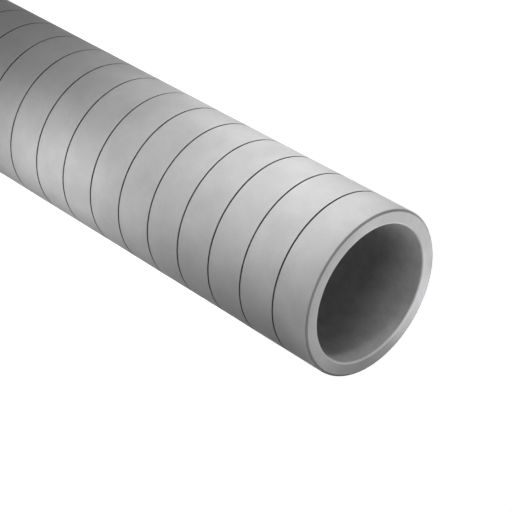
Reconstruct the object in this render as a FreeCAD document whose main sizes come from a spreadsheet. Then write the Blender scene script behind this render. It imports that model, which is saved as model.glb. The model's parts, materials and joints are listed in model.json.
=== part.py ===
# Insulated air duct: one straight length of rigid foam duct, for 160 mm ventilation runs.
#
# The duct is a single foam moulding: a thick-walled round tube with a plain bore that carries
# the air. Both ends are cut square, with a rounded outer edge and a rounded bore mouth that
# leads a coupling in. Narrow V-shaped ring grooves run round the outside at a fixed pitch, and
# guide the saw when the duct is cut to length.
#
# Frame: millimetres, +Z up along the bore, with the duct standing on one end. The origin is the
# centre of that end, on the bore's axis.
import FreeCAD
import Part
import Sketcher
import math
import os

PARTS_FOLDER = "parts"

# Name, size in millimetres, what the size is.
DIMENSIONS = (
    ("bore_diameter", 160.0, "inside of the duct, the nominal size that couplings fit"),
    ("wall_thickness", 17.0, "foam between the bore and the outside"),
    ("duct_length", 1000.0, "one stock length, from end face to end face"),
    ("outer_edge_radius", 3.0, "rounding of each end's outer edge"),
    ("mouth_radius", 2.0, "rounding where the bore opens into each end face"),
    ("ring_pitch", 50.0, "from groove to groove, and from the lower end to the first groove"),
    ("ring_width", 2.0, "width of a groove at the outside of the duct"),
    ("ring_depth", 4.0, "depth of a groove's root below the outside of the duct"),
    ("ring_end_land", 15.0, "shortest stretch left above the last groove"),
    ("cutter_overrun", 1.0, "how far a groove's cutting profile stands clear of the outside"),
)

# Sizes that several features share, worked out from the sheet.
BORE_RADIUS = "dims.bore_diameter / 2"
OUTER_RADIUS = f"({BORE_RADIUS} + dims.wall_thickness)"
LARGEST_ROUNDING = "0.45 * dims.wall_thickness"
RING_COUNT = "floor((dims.duct_length - dims.ring_end_land) / dims.ring_pitch)"


def add_dimension_sheet(doc):
    """Writes the driving dimensions into a spreadsheet, one aliased cell each."""
    sheet = doc.addObject("Spreadsheet::Sheet", "dims")
    for row, (name, size, meaning) in enumerate(DIMENSIONS, start=1):
        sheet.set(f"A{row}", name)
        sheet.set(f"B{row}", str(size))
        sheet.set(f"C{row}", meaning)
        sheet.setAlias(f"B{row}", name)
    doc.recompute()


def origin_feature(body, role):
    """The body's own origin plane or axis with that role."""
    return next(feature for feature in body.Origin.OriginFeatures if feature.Role == role)


def add_sketch(body, name, plane_role):
    """An empty sketch on one of the body's origin planes."""
    sketch = body.newObject("Sketcher::SketchObject", name)
    sketch.AttachmentSupport = [(origin_feature(body, plane_role), "")]
    sketch.MapMode = "FlatFace"
    return sketch


def add_size(sketch, name, size, kind, *places):
    """Adds a dimension to a sketch, names it and ties it to the sheet by an expression."""
    start_value = sketch.evalExpression(size)
    index = sketch.addConstraint(Sketcher.Constraint(kind, *places, start_value))
    sketch.renameConstraint(index, name)
    sketch.setExpression(f"Constraints.{name}", size)


def add_plain_tube(body):
    """The square-ended tube: two circles about the bore's axis, extruded to the stock length."""
    section = add_sketch(body, "TubeSection", "XY_Plane")
    centre = FreeCAD.Vector(0, 0, 0)
    along_bore = FreeCAD.Vector(0, 0, 1)
    for name, radius in (("OuterRadius", OUTER_RADIUS), ("BoreRadius", BORE_RADIUS)):
        circle = section.addGeometry(Part.Circle(centre, along_bore, section.evalExpression(radius)), False)
        section.addConstraint(Sketcher.Constraint("Coincident", circle, 3, -1, 1))
        add_size(section, name, radius, "Radius", circle)
    tube = body.newObject("PartDesign::Pad", "Tube")
    tube.Profile = section
    tube.setExpression("Length", "dims.duct_length")
    return tube


def round_edges(shape, radius):
    """Names of a shape's circular edges that have that radius."""
    return [
        f"Edge{number}"
        for number, edge in enumerate(shape.Edges, start=1)
        if isinstance(edge.Curve, Part.Circle) and math.isclose(edge.Curve.Radius, radius, rel_tol=1e-6)
    ]


def add_edge_rounding(body, base, name, edge_radius, rounding_radius):
    """Rounds the edges that have that radius, which are one at each end of the duct."""
    body.Document.recompute()
    rounding = body.newObject("PartDesign::Fillet", name)
    rounding.Base = (base, round_edges(base.Shape, rounding.evalExpression(edge_radius)))
    rounding.setExpression("Radius", f"min({rounding_radius}; {LARGEST_ROUNDING})")
    return rounding


def add_ring_profile(body):
    """The first groove's section: a V on its side, whose walls run on past the outside."""
    profile = add_sketch(body, "RingProfile", "XZ_Plane")
    root_radius = f"{OUTER_RADIUS} - dims.ring_depth"
    opening_radius = f"{OUTER_RADIUS} + dims.cutter_overrun"
    opening_width = "dims.ring_width * (1 + dims.cutter_overrun / dims.ring_depth)"

    height = profile.evalExpression("dims.ring_pitch")
    half_opening = profile.evalExpression(opening_width) / 2
    root = FreeCAD.Vector(profile.evalExpression(root_radius), height, 0)
    lower_lip = FreeCAD.Vector(profile.evalExpression(opening_radius), height - half_opening, 0)
    upper_lip = FreeCAD.Vector(profile.evalExpression(opening_radius), height + half_opening, 0)
    lower_wall = profile.addGeometry(Part.LineSegment(root, lower_lip), False)
    opening = profile.addGeometry(Part.LineSegment(lower_lip, upper_lip), False)
    upper_wall = profile.addGeometry(Part.LineSegment(upper_lip, root), False)

    profile.addConstraint(Sketcher.Constraint("Coincident", lower_wall, 2, opening, 1))
    profile.addConstraint(Sketcher.Constraint("Coincident", opening, 2, upper_wall, 1))
    profile.addConstraint(Sketcher.Constraint("Coincident", upper_wall, 2, lower_wall, 1))
    profile.addConstraint(Sketcher.Constraint("Vertical", opening))
    profile.addConstraint(Sketcher.Constraint("Equal", lower_wall, upper_wall))
    add_size(profile, "RootRadius", root_radius, "DistanceX", -1, 1, lower_wall, 1)
    add_size(profile, "OpeningRadius", opening_radius, "DistanceX", -1, 1, opening, 1)
    add_size(profile, "OpeningWidth", opening_width, "DistanceY", opening, 1, opening, 2)
    add_size(profile, "RingHeight", "dims.ring_pitch", "DistanceY", -1, 1, lower_wall, 1)
    return profile


def add_ring_grooves(body):
    """Turns the first groove about the bore's axis and repeats it up the duct."""
    profile = add_ring_profile(body)
    first_ring = body.newObject("PartDesign::Groove", "FirstRing")
    first_ring.Profile = profile
    first_ring.ReferenceAxis = (profile, ["V_Axis"])
    first_ring.Angle = 360.0
    body.Document.recompute()
    rings = body.newObject("PartDesign::LinearPattern", "Rings")
    rings.Originals = [first_ring]
    rings.Direction = (origin_feature(body, "Z_Axis"), [""])
    rings.Mode = "Spacing"
    rings.setExpression("Offset", "dims.ring_pitch")
    rings.setExpression("Occurrences", RING_COUNT)
    body.Tip = rings
    return first_ring, rings


def build_foam_duct(doc):
    """The duct's body: tube, rounded edges at both ends and ring grooves."""
    body = doc.addObject("PartDesign::Body", "FoamDuct")
    body.Label = "foam_duct"
    tube = add_plain_tube(body)
    outer_edges = add_edge_rounding(body, tube, "OuterEdges", OUTER_RADIUS, "dims.outer_edge_radius")
    mouths = add_edge_rounding(body, outer_edges, "Mouths", BORE_RADIUS, "dims.mouth_radius")
    first_ring, rings = add_ring_grooves(body)
    body.Placement = FreeCAD.Placement()
    doc.recompute()
    check_ring_cuts(mouths, first_ring, rings)
    return body


def check_ring_cuts(uncut, first_ring, rings):
    """Stops the build if the pattern took away anything but a whole number of equal grooves."""
    one_ring = uncut.Shape.Volume - first_ring.Shape.Volume
    all_rings = uncut.Shape.Volume - rings.Shape.Volume
    if one_ring <= 0 or not math.isclose(all_rings, rings.Occurrences * one_ring, rel_tol=1e-6):
        raise RuntimeError(f"the grooves took {all_rings:.1f} mm3 in all, and one takes {one_ring:.1f} mm3")


def check_document(doc):
    """Stops the build if any object failed to compute."""
    for item in doc.Objects:
        if "Invalid" in item.State or "Error" in item.State:
            raise RuntimeError(f"{item.Label} did not compute: {item.State}")


def export_piece(body):
    """Writes one piece's solid to its own file."""
    shape = body.Shape
    if shape.isNull() or not shape.isValid() or len(shape.Solids) != 1:
        raise RuntimeError(f"{body.Label} is not one valid solid")
    shape.exportStep(os.path.join(PARTS_FOLDER, f"{body.Label}.step"))
    box = shape.optimalBoundingBox(False)
    print(f"{body.Label}: {box.XLength:.1f} x {box.YLength:.1f} x {box.ZLength:.1f} mm, {shape.Volume:.0f} mm3")


def main():
    """Builds the document and writes every piece."""
    doc = FreeCAD.newDocument("InsulatedAirDuct")
    add_dimension_sheet(doc)
    duct = build_foam_duct(doc)
    check_document(doc)
    os.makedirs(PARTS_FOLDER, exist_ok=True)
    export_piece(duct)


main()
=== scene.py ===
"""Insulated air duct, dressed as closed-cell foam and set up for its picture.

The duct stands on its lower end, as it is stored. The camera looks down on its upper end from
the front and is rolled, so that in the picture the duct runs from the lower right to the upper
left and out of the frame. Every length is in metres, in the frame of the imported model.
"""
import json
import logging
import math
from collections.abc import Callable, Iterator
from contextlib import contextmanager
from dataclasses import dataclass
from enum import Enum

import bmesh
import bpy
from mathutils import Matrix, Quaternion, Vector


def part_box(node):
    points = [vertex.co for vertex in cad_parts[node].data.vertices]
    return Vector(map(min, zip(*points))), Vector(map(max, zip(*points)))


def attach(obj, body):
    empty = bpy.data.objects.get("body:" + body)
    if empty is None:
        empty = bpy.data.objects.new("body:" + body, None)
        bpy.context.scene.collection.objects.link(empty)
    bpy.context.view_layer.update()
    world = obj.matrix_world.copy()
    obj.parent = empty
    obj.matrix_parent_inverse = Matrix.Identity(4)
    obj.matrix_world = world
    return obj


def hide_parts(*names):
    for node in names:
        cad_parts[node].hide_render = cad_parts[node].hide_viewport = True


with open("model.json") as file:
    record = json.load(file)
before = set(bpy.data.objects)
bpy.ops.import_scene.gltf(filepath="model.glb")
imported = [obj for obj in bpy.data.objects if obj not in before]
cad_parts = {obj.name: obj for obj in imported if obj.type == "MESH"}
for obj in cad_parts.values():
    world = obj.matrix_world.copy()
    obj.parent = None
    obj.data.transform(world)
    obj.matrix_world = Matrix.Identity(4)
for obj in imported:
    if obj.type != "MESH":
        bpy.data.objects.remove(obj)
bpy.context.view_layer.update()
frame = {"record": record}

log = logging.getLogger("air_duct")

MM = 0.001
SAME_PLACE_WITHIN = 0.01 * MM
MERGE_WITHIN = 0.001 * MM
DUCT_NODE = "foam_duct"
BODY = "root"


class Surface(Enum):
    """The duct's surfaces that have a material of their own, in the order of its material slots; apart from
    the skin, each carries painted shade or a painted highlight.
    """

    SKIN = 0
    GROOVE = 1
    RIM = 2
    MOUTH = 3
    BORE = 4


def mount_radius(name: str) -> float:
    """Reads a round mount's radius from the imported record.

    Args:
        name: The mount's name.

    Returns:
        The radius in metres.
    """
    mount = next(m for m in frame["record"]["mounts"] if m["name"] == name)
    return mount["dims"]["r_mm"] * MM


def same_place(first: float, second: float) -> bool:
    """Tells whether two coordinates are the same, within a hundredth of a millimetre."""
    return abs(first - second) < SAME_PLACE_WITHIN


@contextmanager
def editing(piece: bpy.types.Object) -> Iterator[None]:
    """Makes one piece the only selected one and keeps it in edit mode.

    Args:
        piece: The object to edit.

    Returns:
        Nothing; the piece is back in object mode when the block ends.
    """
    select_only(piece)
    bpy.ops.object.mode_set(mode="EDIT")
    yield
    bpy.ops.object.mode_set(mode="OBJECT")


def select_only(piece: bpy.types.Object) -> None:
    """Deselects everything else and makes the piece active.

    Args:
        piece: The object to select.
    """
    bpy.ops.object.select_all(action="DESELECT")
    piece.select_set(True)
    bpy.context.view_layer.objects.active = piece


def pick_vertices(piece: bpy.types.Object, test: Callable[[Vector], bool]) -> None:
    """Selects the vertices whose place passes a test, with the edges and faces between them.

    Args:
        piece: The object, in edit mode.
        test: Takes a vertex's place and says whether it is wanted.
    """
    bpy.ops.mesh.select_mode(type="VERT")
    bpy.ops.mesh.select_all(action="DESELECT")
    mesh = bmesh.from_edit_mesh(piece.data)
    for vertex in mesh.verts:
        vertex.select = test(vertex.co)
    mesh.select_flush(True)
    bmesh.update_edit_mesh(piece.data)


def pick_faces(piece: bpy.types.Object, test: Callable[[Vector], bool]) -> None:
    """Selects the faces whose middle passes a test.

    Args:
        piece: The object, in edit mode.
        test: Takes a face's middle and says whether it is wanted.
    """
    bpy.ops.mesh.select_mode(type="FACE")
    bpy.ops.mesh.select_all(action="DESELECT")
    mesh = bmesh.from_edit_mesh(piece.data)
    for face in mesh.faces:
        face.select = test(face.calc_center_median())
    mesh.select_flush(True)
    bmesh.update_edit_mesh(piece.data)


def pick_long_edges(piece: bpy.types.Object, shortest: float, side: float) -> None:
    """Selects the edges of a section that are long and lie at a distance from the axis.

    Args:
        piece: The section, in edit mode.
        shortest: Length that an edge has at least.
        side: The edges' distance from the axis, which is their X.
    """
    bpy.ops.mesh.select_mode(type="EDGE")
    bpy.ops.mesh.select_all(action="DESELECT")
    mesh = bmesh.from_edit_mesh(piece.data)
    for edge in mesh.edges:
        edge.select = edge.calc_length() > shortest and all(same_place(v.co.x, side) for v in edge.verts)
    bmesh.update_edit_mesh(piece.data)


def distance_from_axis(place: Vector) -> float:
    """Distance of a place from the bore's axis, which is the Z axis."""
    return math.hypot(place.x, place.y)


class NodeSheet:
    """A small wrapper that fills the node tree of a material or a world."""

    pattern_low: float = 0.3
    pattern_high: float = 0.7
    octave_strength: float = 0.6

    def __init__(self, owner: bpy.types.Material | bpy.types.World) -> None:
        """Empties the owner's node tree.

        Args:
            owner: The material or world whose nodes are written.
        """
        owner.use_nodes = True
        self.tree = owner.node_tree
        self.tree.nodes.clear()

    def add(self, kind: str, inputs: dict | None = None, **settings: object) -> bpy.types.Node:
        """Adds a node, sets it up and feeds its sockets.

        Args:
            kind: The node's type.
            inputs: Socket name or number to a constant, or to another node's output socket.
            **settings: Attributes of the node itself.

        Returns:
            The new node.
        """
        node = self.tree.nodes.new(kind)
        for key, value in settings.items():
            setattr(node, key, value)
        for key, value in (inputs or {}).items():
            if isinstance(value, bpy.types.NodeSocket):
                self.tree.links.new(value, node.inputs[key])
            else:
                node.inputs[key].default_value = value
        return node

    def noise(self, vector: bpy.types.NodeSocket, grain: float, detail: float) -> bpy.types.NodeSocket:
        """Adds a noise pattern.

        Args:
            vector: The coordinates to read.
            grain: Size of the pattern's largest features.
            detail: Number of finer octaves.

        Returns:
            The pattern's value, about 0.5 on average.
        """
        inputs = {"Vector": vector, "Scale": 1 / grain, "Detail": detail, "Roughness": self.octave_strength}
        return self.add("ShaderNodeTexNoise", inputs).outputs["Fac"]

    def remap(self, value: bpy.types.NodeSocket, low: float, high: float) -> bpy.types.NodeSocket:
        """Stretches the middle of a pattern over a range.

        Args:
            value: The pattern, between 0 and 1.
            low: Result where the pattern is at its low mark or below.
            high: Result where the pattern is at its high mark or above.

        Returns:
            The remapped value.
        """
        marks = {"From Min": self.pattern_low, "From Max": self.pattern_high}
        inputs = {"Value": value, **marks, "To Min": low, "To Max": high}
        return self.add("ShaderNodeMapRange", inputs).outputs["Result"]

    def product(self, first: bpy.types.NodeSocket, second: bpy.types.NodeSocket) -> bpy.types.NodeSocket:
        """Multiplies two values."""
        return self.add("ShaderNodeMath", {0: first, 1: second}, operation="MULTIPLY").outputs[0]


@dataclass(frozen=True)
class FoamFinishOrPaintedLight:
    """Closed-cell foam: a fine cell pattern under a satin skin, with soft mottling; its shade is the foam's
    own colour on the skin, and painted shade or a painted highlight elsewhere.
    """

    name: str
    shade: float
    tint: tuple[float, float, float] = (1.003, 1.0, 1.012)
    mottle: float = 0.075
    cell_contrast: float = 0.03
    cell_size: float = 1.1 * MM
    cell_height: float = 0.06 * MM
    cell_jumble: float = 0.9
    cell_wall_at: float = 0.8
    mottle_grain: float = 45 * MM
    mottle_detail: float = 4
    ripple_grain: float = 7 * MM
    ripple_detail: float = 3
    ripple_height: float = 0.05 * MM
    roughness: tuple[float, float] = (0.5, 0.66)
    specular: float = 0.08

    def material(self) -> bpy.types.Material:
        """Writes the finish as a node material.

        Returns:
            The finished material.
        """
        foam = bpy.data.materials.new(self.name)
        sheet = NodeSheet(foam)
        place = sheet.add("ShaderNodeTexCoord").outputs["Object"]
        clouds = sheet.noise(place, self.mottle_grain, self.mottle_detail)
        ripples = sheet.noise(place, self.ripple_grain, self.ripple_detail)
        cells = self._cells(sheet, place)

        clouded = sheet.remap(clouds, 1 - self.mottle, 1 + self.mottle)
        speckled = sheet.remap(cells, 1 - self.cell_contrast, 1 + self.cell_contrast)
        brightness = sheet.product(clouded, speckled)
        base = tuple(self.shade * part for part in self.tint)
        color = sheet.add("ShaderNodeVectorMath", {0: base, "Scale": brightness}, operation="SCALE")

        ripple_bump = self._bump(sheet, ripples, self.ripple_height)
        cell_bump = self._bump(sheet, cells, self.cell_height, ripple_bump)
        shader = sheet.add("ShaderNodeBsdfPrincipled", {
            "Base Color": color.outputs["Vector"],
            "Roughness": sheet.remap(ripples, *self.roughness),
            "Specular IOR Level": self.specular,
            "Normal": cell_bump,
        })
        sheet.add("ShaderNodeOutputMaterial", {"Surface": shader.outputs["BSDF"]})
        return foam

    def _cells(self, sheet: NodeSheet, place: bpy.types.NodeSocket) -> bpy.types.NodeSocket:
        """Adds the pattern of the foam's cells.

        Args:
            sheet: The material being written.
            place: Object coordinates.

        Returns:
            A value that is high in a cell's middle and low at its walls.
        """
        inputs = {"Vector": place, "Scale": 1 / self.cell_size, "Randomness": self.cell_jumble}
        cells = sheet.add("ShaderNodeTexVoronoi", inputs, feature="SMOOTH_F1")
        distance = cells.outputs["Distance"]
        fade = {"Value": distance, "From Max": self.cell_wall_at, "To Min": 1.0, "To Max": 0.0}
        return sheet.add("ShaderNodeMapRange", fade).outputs["Result"]

    def _bump(
        self,
        sheet: NodeSheet,
        height: bpy.types.NodeSocket,
        distance: float,
        under: bpy.types.NodeSocket | None = None,
    ) -> bpy.types.NodeSocket:
        """Adds a bump on top of another.

        Args:
            sheet: The material being written.
            height: The pattern to raise.
            distance: How high it is raised.
            under: The normal of the bump below, if there is one.

        Returns:
            The bumped normal.
        """
        inputs = {"Height": height, "Distance": distance, "Strength": 1.0}
        if under is not None:
            inputs["Normal"] = under
        return sheet.add("ShaderNodeBump", inputs).outputs["Normal"]


def foam_finishes_and_painted_light() -> dict[Surface, FoamFinishOrPaintedLight]:
    """Lists each surface's finish: the skin has the foam's own colour; the grooves, the ends' outer edges
    and the bore are darker as painted shade, and the mouths are lighter as a painted highlight.

    Returns:
        One finish, with its painted shade or highlight, for each surface.
    """
    return {
        Surface.SKIN: FoamFinishOrPaintedLight("foam_skin", shade=0.6),
        # painted shade: the grooves' walls are far darker than the skin, standing in for the shade inside
        # the grooves
        Surface.GROOVE: FoamFinishOrPaintedLight("foam_groove_painted_shade", shade=0.09, mottle=0.1, specular=0.03),
        # painted shade: the ends' outer edges are darker than the skin, standing in for shade along the
        # rounding
        Surface.RIM: FoamFinishOrPaintedLight("foam_rim_painted_shade", shade=0.3, mottle=0.08),
        # painted highlight: the mouths' roundings are lighter than the skin, standing in for a highlight
        # along the bore's edge
        Surface.MOUTH: FoamFinishOrPaintedLight("foam_mouth_painted_highlight", shade=0.75, mottle=0.08),
        # painted shade: the bore's wall is a little darker than the skin, standing in for shade inside the
        # bore; its stronger mottling is the foam's own
        Surface.BORE: FoamFinishOrPaintedLight(
            "foam_bore_painted_shade", shade=0.52, mottle=0.1, mottle_grain=14 * MM, cell_contrast=0.065
        ),
    }


@dataclass
class FoamDuct:
    """The duct: one tube of foam with rounded ends and V-shaped ring grooves.

    It is turned from a section of its wall, where X is the distance from the axis.
    """

    outer_radius: float
    bore_radius: float
    length: float
    outer_edge_radius: float = 3.0 * MM
    mouth_radius: float = 2.0 * MM
    ring_pitch: float = 50 * MM
    ring_width: float = 2.0 * MM
    ring_depth: float = 4.0 * MM
    ring_end_land: float = 15 * MM
    lip_radius: float = 0.25 * MM
    lip_steps: int = 2
    # painted shade on the outer edges' roundings starts this far round from the outside
    rim_painted_shade_start: float = math.radians(30)
    hold: float = 0.6 * MM
    unevenness: float = 0.25 * MM
    unevenness_grain: float = 70 * MM
    loops_per_stretch: int = 3
    rounding_steps: int = 6
    sides: int = 240
    sharp_above: float = math.radians(40)

    @property
    def ring_heights(self) -> list[float]:
        """Heights of the ring grooves' roots."""
        count = math.floor((self.length - self.ring_end_land) / self.ring_pitch)
        return [self.ring_pitch * (number + 1) for number in range(count)]

    def build(self) -> bpy.types.Object:
        """Models the duct and dresses it.

        Returns:
            The finished piece, at the origin, with its place in its mesh.
        """
        duct = self._add_wall_section()
        with editing(duct):
            self._cut_ring_levels(duct)
            self._sink_ring_roots(duct)
            self._soften_lips(duct)
            self._round_ends(duct)
            self._hold_roundings(duct)
            self._divide_stretches(duct)
            self._turn_section()
        self._make_uneven(duct)
        self._dress(duct)
        return duct

    def _add_wall_section(self) -> bpy.types.Object:
        """Adds the outline of the wall's section, a tall narrow rectangle on the +X side.

        Returns:
            The outline, with its place in its mesh.
        """
        middle = (self.outer_radius + self.bore_radius) / 2
        upright = (math.radians(90), 0, 0)
        bpy.ops.object.select_all(action="DESELECT")
        bpy.ops.mesh.primitive_plane_add(size=1, location=(middle, 0, self.length / 2), rotation=upright)
        section = bpy.context.object
        section.name = "foam_duct_wall"
        section.data.name = section.name
        section.scale = (self.outer_radius - self.bore_radius, self.length, 1)
        bpy.ops.object.transform_apply(location=True, rotation=True, scale=True)
        with editing(section):
            bpy.ops.mesh.select_mode(type="FACE")
            bpy.ops.mesh.select_all(action="SELECT")
            bpy.ops.mesh.delete(type="ONLY_FACE")
        return section

    def _cut_ring_levels(self, duct: bpy.types.Object) -> None:
        """Cuts each groove's root, its two lips and a holding line beside each lip into the wall.

        Args:
            duct: The section, in edit mode.
        """
        lip = self.ring_width / 2
        held = lip + self.lip_radius + self.hold
        for height in self.ring_heights:
            for offset in (-held, -lip, 0.0, lip, held):
                self._cut_side(duct, self.outer_radius, height + offset)

    def _cut_side(self, duct: bpy.types.Object, side: float, height: float) -> None:
        """Cuts the wall's side at that distance from the axis at one height.

        Args:
            duct: The section, in edit mode.
            side: Distance of the wall's side from the axis.
            height: Where to cut it.
        """
        pick_vertices(duct, lambda place: same_place(place.x, side))
        bpy.ops.mesh.bisect(plane_co=(0, 0, height), plane_no=(0, 0, 1))

    def _cut_end(self, duct: bpy.types.Object, end: float, distance: float) -> None:
        """Cuts an end face at a distance from the axis.

        Args:
            duct: The section, in edit mode.
            end: Height of the end face.
            distance: Where to cut it.
        """
        pick_vertices(duct, lambda place: same_place(place.z, end))
        bpy.ops.mesh.bisect(plane_co=(distance, 0, 0), plane_no=(1, 0, 0))

    def _sink_ring_roots(self, duct: bpy.types.Object) -> None:
        """Draws each root in towards the axis, which makes it a V-shaped groove.

        Args:
            duct: The section, in edit mode.
        """
        pick_vertices(duct, lambda place: self._beside_ring(place, 0.0))
        bpy.ops.transform.translate(value=(-self.ring_depth, 0, 0))

    def _soften_lips(self, duct: bpy.types.Object) -> None:
        """Rounds off both lips of every groove.

        Args:
            duct: The section, in edit mode.
        """
        pick_vertices(duct, lambda place: self._beside_ring(place, self.ring_width / 2))
        self._round_corners(self.lip_radius, self.lip_steps)

    def _beside_ring(self, place: Vector, offset: float) -> bool:
        """Tells whether a place on the outer wall is that far above or below a groove's root."""
        on_wall = same_place(place.x, self.outer_radius)
        return on_wall and any(same_place(abs(place.z - ring), offset) for ring in self.ring_heights)

    def _round_ends(self, duct: bpy.types.Object) -> None:
        """Rounds the section's corners: the outer edges and the mouths of both ends.

        Args:
            duct: The section, in edit mode.
        """
        corners = ((self.outer_radius, self.outer_edge_radius), (self.bore_radius, self.mouth_radius))
        for side, rounding in corners:
            pick_vertices(duct, lambda place: self._at_corner(place, side))
            self._round_corners(rounding, self.rounding_steps)

    def _round_corners(self, radius: float, steps: int) -> None:
        """Rounds the selected corners of the section to an arc of that many steps."""
        bpy.ops.mesh.bevel(offset=radius, segments=steps, profile=0.5, affect="VERTICES")

    def _hold_roundings(self, duct: bpy.types.Object) -> None:
        """Cuts a narrow strip off on both sides of each rounding, so that its shading stays on it.

        Args:
            duct: The section, in edit mode.
        """
        outer = (self.outer_radius, -(self.outer_edge_radius + self.hold))
        mouth = (self.bore_radius, self.mouth_radius + self.hold)
        for side, reach in (outer, mouth):
            for end, climb in ((0.0, abs(reach)), (self.length, -abs(reach))):
                self._cut_side(duct, side, end + climb)
                self._cut_end(duct, end, side + reach)

    def _at_corner(self, place: Vector, side: float) -> bool:
        """Tells whether a place is the corner of an end face at that distance from the axis."""
        at_end = same_place(place.z, 0.0) or same_place(place.z, self.length)
        return at_end and same_place(place.x, side)

    def _divide_stretches(self, duct: bpy.types.Object) -> None:
        """Divides the long straight stretches, so that they can be uneven.

        Args:
            duct: The section, in edit mode.
        """
        for side, pieces in ((self.outer_radius, 1), (self.bore_radius, len(self.ring_heights) + 1)):
            pick_long_edges(duct, self.ring_pitch / 2, side)
            bpy.ops.mesh.subdivide(number_cuts=(self.loops_per_stretch + 1) * pieces - 1)

    def _turn_section(self) -> None:
        """Turns the section round the bore's axis into a closed wall."""
        bpy.ops.mesh.select_all(action="SELECT")
        bpy.ops.mesh.spin(steps=self.sides, angle=math.tau, center=(0, 0, 0), axis=(0, 0, 1))
        bpy.ops.mesh.select_all(action="SELECT")
        bpy.ops.mesh.remove_doubles(threshold=MERGE_WITHIN)
        bpy.ops.mesh.normals_make_consistent(inside=False)

    def _make_uneven(self, duct: bpy.types.Object) -> None:
        """Sinks the surface by slow, slight amounts, as moulded foam does where it cools unevenly.

        Args:
            duct: The piece, in object mode.
        """
        select_only(duct)
        clouds = bpy.data.textures.new("foam_unevenness", "CLOUDS")
        clouds.noise_scale = self.unevenness_grain
        clouds.noise_depth = 1
        bpy.ops.object.modifier_add(type="DISPLACE")
        uneven = duct.modifiers[-1]
        uneven.texture = clouds
        uneven.texture_coords = "LOCAL"
        uneven.mid_level = 1.0
        uneven.strength = self.unevenness
        bpy.ops.object.modifier_apply(modifier=uneven.name)
        bpy.ops.object.shade_smooth_by_angle(angle=self.sharp_above)

    def _dress(self, duct: bpy.types.Object) -> None:
        """Gives each of the duct's surfaces its finish: the skin its own colour, the grooves, outer edges
        and bore painted shade, and the mouths a painted highlight.

        Args:
            duct: The piece, in object mode.
        """
        painted_light_and_finishes = foam_finishes_and_painted_light()
        for surface in Surface:
            duct.data.materials.append(painted_light_and_finishes[surface].material())
        # the faces picked here get painted shade (grooves, outer edges, bore) or a painted highlight
        # (mouths)
        places = {
            Surface.GROOVE: self._in_groove,
            Surface.RIM: self._on_rim,
            Surface.MOUTH: self._on_mouth,
            Surface.BORE: self._in_bore,
        }
        with editing(duct):
            for surface, test in places.items():
                pick_faces(duct, test)
                duct.active_material_index = surface.value
                bpy.ops.object.material_slot_assign()

    def _in_groove(self, middle: Vector) -> bool:
        """Tells whether a face's middle is inside a groove, where the walls get painted shade.

        Args:
            middle: The face's middle.

        Returns:
            True on a groove's two walls.
        """
        to_ring = min(abs(middle.z - ring) for ring in self.ring_heights)
        outside = distance_from_axis(middle) > self.outer_radius - self.ring_depth
        return outside and to_ring < self.ring_width / 2

    def _on_rim(self, middle: Vector) -> bool:
        """Tells whether a face's middle is on an outer edge's rounding, where that faces the end and gets
        painted shade.

        Args:
            middle: The face's middle.

        Returns:
            True where the rounding has turned from the outside by the angle that the painted shade starts
            at.
        """
        across = distance_from_axis(middle) - (self.outer_radius - self.outer_edge_radius)
        along = self.outer_edge_radius - self._to_end(middle)
        return across > 0 and along > across * math.tan(self.rim_painted_shade_start)

    def _on_mouth(self, middle: Vector) -> bool:
        """Tells whether a face's middle is on a mouth's rounding, which gets a painted highlight."""
        return self._faces_bore(middle) and self._to_end(middle) < self.mouth_radius

    def _in_bore(self, middle: Vector) -> bool:
        """Tells whether a face's middle is on the bore's wall, which gets painted shade."""
        return self._faces_bore(middle) and self._to_end(middle) > self.mouth_radius

    def _faces_bore(self, middle: Vector) -> bool:
        """Tells whether a face's middle is on the bore's wall or on a mouth's rounding."""
        return distance_from_axis(middle) < self.bore_radius + self.mouth_radius

    def _to_end(self, middle: Vector) -> float:
        """Distance of a face's middle from the nearer end of the duct."""
        return min(middle.z, self.length - middle.z)


@dataclass(frozen=True)
class Lamp:
    """A square soft lamp that points at a place; a beam under 180 degrees has a grid before it."""

    name: str
    aim: tuple[float, float, float]
    azimuth: float
    elevation: float
    distance: float
    size: float
    power: float
    beam: float = 180.0

    def place(self) -> None:
        """Hangs the lamp."""
        back = direction(self.azimuth, self.elevation)
        bpy.ops.object.light_add(type="AREA", location=Vector(self.aim) + back * self.distance)
        lamp = bpy.context.object
        lamp.name = self.name
        lamp.rotation_mode = "QUATERNION"
        lamp.rotation_quaternion = (-back).to_track_quat("-Z", "Y")
        lamp.data.shape = "SQUARE"
        lamp.data.size = self.size
        lamp.data.energy = self.power
        lamp.data.spread = math.radians(self.beam)
        lamp.visible_camera = False


def direction(azimuth: float, elevation: float) -> Vector:
    """Unit vector from the duct towards a viewpoint.

    Args:
        azimuth: Degrees round the duct; 0 is the front, which faces -Y, and 90 faces +X.
        elevation: Degrees above the horizon.

    Returns:
        The direction.
    """
    turn, rise = math.radians(azimuth), math.radians(elevation)
    return Vector((math.sin(turn) * math.cos(rise), -math.cos(turn) * math.cos(rise), math.sin(rise)))


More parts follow.
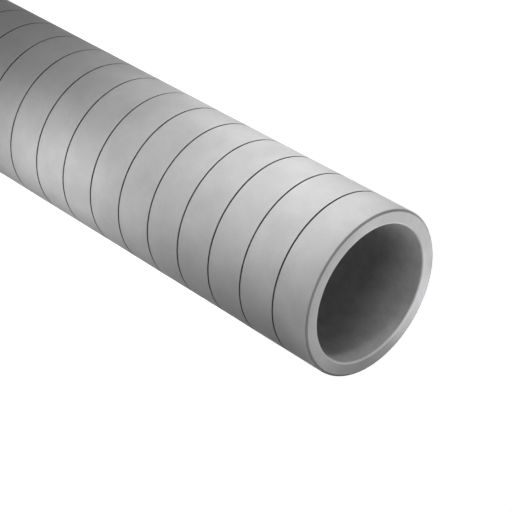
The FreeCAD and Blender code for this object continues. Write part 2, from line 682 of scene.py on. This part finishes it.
@dataclass(frozen=True)
class Studio:
    """The floor, the surround and the lamps."""

    lamps: tuple[Lamp, ...]
    floor_size: float = 40.0
    floor_shade: float = 0.4
    near_glow: float = 0.75
    glow_starts: float = 0.12
    glow_full: float = 0.42
    surround: float = 0.03

    def build(self) -> None:
        """Lays the floor, sets the surround and hangs the lamps."""
        self._lay_floor()
        self._set_surround()
        for lamp in self.lamps:
            lamp.place()
            log.info("lamp %s at %.0f degrees, %.2f m away", lamp.name, lamp.azimuth, lamp.distance)

    def _lay_floor(self) -> None:
        """Lays a pale floor that the duct stands on and leaves its shadow on."""
        bpy.ops.object.select_all(action="DESELECT")
        bpy.ops.mesh.primitive_plane_add(size=self.floor_size, location=(0, 0, 0))
        floor = bpy.context.object
        floor.name = "studio_floor"
        floor.data.materials.append(self._floor_material())

    def _floor_material(self) -> bpy.types.Material:
        """Writes a white floor that glows a little to what looks at it, and less near the duct.

        Returns:
            The material.
        """
        paper = bpy.data.materials.new("studio_floor")
        sheet = NodeSheet(paper)
        place = sheet.add("ShaderNodeTexCoord").outputs["Object"]
        reach = sheet.add("ShaderNodeVectorMath", {0: place}, operation="LENGTH").outputs["Value"]
        spread = {
            "Value": reach,
            "From Min": self.glow_starts,
            "From Max": self.glow_full,
            "To Min": self.near_glow,
            "To Max": 1.0,
        }
        glow = sheet.add("ShaderNodeMapRange", spread, interpolation_type="SMOOTHSTEP").outputs["Result"]
        paint = (self.floor_shade,) * 3 + (1.0,)
        diffuse = sheet.add("ShaderNodeBsdfDiffuse", {"Color": paint})
        strength = sheet.product(glow, seen_directly(sheet))
        emission = sheet.add("ShaderNodeEmission", {"Strength": strength})
        both = sheet.add("ShaderNodeAddShader", {0: diffuse.outputs[0], 1: emission.outputs[0]})
        sheet.add("ShaderNodeOutputMaterial", {"Surface": both.outputs[0]})
        return paper

    def _set_surround(self) -> None:
        """Makes the surround white to look at and dim as a light."""
        world = bpy.data.worlds.new("studio")
        bpy.context.scene.world = world
        sheet = NodeSheet(world)
        spread = {"Value": seen_directly(sheet), "To Min": self.surround, "To Max": 1.0}
        strength = sheet.add("ShaderNodeMapRange", spread).outputs["Result"]
        background = sheet.add("ShaderNodeBackground", {"Color": (1, 1, 1, 1), "Strength": strength})
        sheet.add("ShaderNodeOutputWorld", {"Surface": background.outputs[0]})


def seen_directly(sheet: NodeSheet) -> bpy.types.NodeSocket:
    """Adds a value that is 1 for what the camera sees, also in gloss or through glass.

    Args:
        sheet: The node tree being written.

    Returns:
        The value, 1 or 0.
    """
    path = sheet.add("ShaderNodeLightPath").outputs
    straight = {0: path["Is Camera Ray"], 1: path["Is Glossy Ray"]}
    reflected = sheet.add("ShaderNodeMath", straight, operation="MAXIMUM")
    either = {0: reflected.outputs[0], 1: path["Is Transmission Ray"]}
    return sheet.add("ShaderNodeMath", either, operation="MAXIMUM").outputs[0]


@dataclass(frozen=True)
class ProductCamera:
    """The camera of the picture."""

    aim: tuple[float, float, float]
    azimuth: float
    elevation: float
    roll: float
    distance: float
    lens: float
    sensor_width: float = 36.0
    nearest: float = 0.05
    farthest: float = 100.0

    def place(self) -> None:
        """Sets the camera up and makes it the scene's own."""
        back = direction(self.azimuth, self.elevation)
        bpy.ops.object.camera_add(location=Vector(self.aim) + back * self.distance)
        camera = bpy.context.object
        camera.name = "product_camera"
        camera.rotation_mode = "QUATERNION"
        upright = (-back).to_track_quat("-Z", "Y")
        camera.rotation_quaternion = upright @ Quaternion((0, 0, 1), math.radians(self.roll))
        camera.data.lens = self.lens
        camera.data.sensor_width = self.sensor_width
        camera.data.clip_start = self.nearest
        camera.data.clip_end = self.farthest
        bpy.context.scene.camera = camera


def picture_lamps() -> tuple[Lamp, ...]:
    """Lists the lamps of the picture.

    Returns:
        The lamps, the main one first and the one that lights the back last.
    """
    return (
        Lamp(
            "front_lamp",
            aim=(0, 0, 0.91),
            azimuth=-2,
            elevation=15,
            distance=1,
            size=0.36,
            power=2.825,
        ),
        Lamp(
            "left_lamp",
            aim=(0, 0, 0.93),
            azimuth=-84,
            elevation=-24,
            distance=0.42,
            size=0.3,
            power=0.807,
        ),
        Lamp(
            "upper_lamp",
            aim=(0, 0, 0.62),
            azimuth=-25,
            elevation=42,
            distance=0.46,
            size=0.2,
            power=0.389,
        ),
        Lamp(
            "right_lamp",
            aim=(0, 0, 0.9),
            azimuth=39,
            elevation=-50,
            distance=0.45,
            size=0.12,
            power=0.31,
        ),
        Lamp(
            "low_lamp",
            aim=(0, 0, 0.63),
            azimuth=50,
            elevation=-51,
            distance=0.42,
            size=0.1,
            power=0.251,
        ),
        Lamp(
            "top_lamp",
            aim=(0, 0, 0.94),
            azimuth=-155,
            elevation=77,
            distance=1.03,
            size=0.04,
            power=2.119,
        ),
        Lamp(
            "mouth_lamp",
            aim=(-0.08, -0.06, 1),
            azimuth=103,
            elevation=25,
            distance=0.42,
            size=0.04,
            power=0.0363,
            beam=37,
        ),
        Lamp(
            "rim_lamp",
            aim=(-0.105, -0.02, 1),
            azimuth=-171,
            elevation=10,
            distance=0.44,
            size=0.145,
            power=0.1648,
            beam=45,
        ),
        Lamp(
            "side_lamp",
            aim=(0.04, -0.055, 0.985),
            azimuth=-66,
            elevation=7,
            distance=1.47,
            size=0.06,
            power=0.0929,
            beam=29,
        ),
        Lamp(
            "bore_lamp",
            aim=(-0.02, 0.07, 1),
            azimuth=170,
            elevation=80,
            distance=0.44,
            size=0.05,
            power=0.0105,
            beam=17,
        ),
        Lamp(
            "left_foot_lamp",
            aim=(0, 0, 0),
            azimuth=-55,
            elevation=8,
            distance=1.2,
            size=0.2,
            power=0.08,
            beam=28,
        ),
        Lamp(
            "right_foot_lamp",
            aim=(0, 0, 0),
            azimuth=55,
            elevation=8,
            distance=1.2,
            size=0.2,
            power=0.08,
            beam=28,
        ),
        Lamp("back_lamp", aim=(0, 0, 0.5), azimuth=180, elevation=0, distance=1.2, size=0.8, power=7),
    )


def main() -> None:
    """Builds the duct, the studio and the camera in order."""
    logging.basicConfig(level=logging.INFO, format="%(name)s: %(message)s")
    low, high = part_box(DUCT_NODE)
    duct = FoamDuct(outer_radius=high.x, bore_radius=mount_radius("bore_top"), length=high.z - low.z)
    piece = duct.build()
    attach(piece, BODY)
    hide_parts(DUCT_NODE)
    piece.data.calc_loop_triangles()
    triangles = len(piece.data.loop_triangles)
    log.info("piece %s: %d triangles, %d grooves", piece.name, triangles, len(duct.ring_heights))

    Studio(lamps=picture_lamps()).build()
    ProductCamera(
        aim=(0.0265, 0.0001, 0.8416),
        azimuth=0,
        elevation=37.67,
        roll=120.27,
        distance=2.032,
        lens=129.4,
    ).place()
    bpy.context.scene.view_settings.view_transform = "Standard"


if __name__ == "__main__":
    main()
